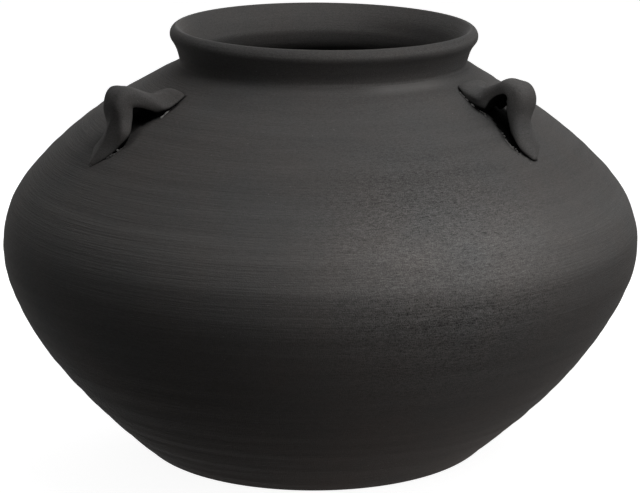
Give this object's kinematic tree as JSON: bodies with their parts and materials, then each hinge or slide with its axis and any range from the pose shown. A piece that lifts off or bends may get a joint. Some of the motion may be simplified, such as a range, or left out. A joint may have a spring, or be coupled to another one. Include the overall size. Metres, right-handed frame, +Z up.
{
  "type": "clay vase",
  "caption": "Wide round-bodied clay vase with a narrow foot, a short flared neck with a rolled rim, and strap lugs on the shoulder.",
  "frame": {"origin": "centre of the foot, on the surface that the vase stands on", "axes": "+Z up along the throwing axis, -Y to the front between the two front lugs, +X to the right seen from the front"},
  "size_m": [0.3999, 0.4, 0.27],
  "materials": {
    "dark_clay": "matte smoked clay with fine throwing lines"
  },
  "bodies": {
    "root": {"lower_bowl": "dark_clay", "shoulder": "dark_clay", "neck_collar": "dark_clay", "lug_left": "dark_clay", "lug_right": "dark_clay", "lug_back": "dark_clay"}
  },
  "joints": []
}
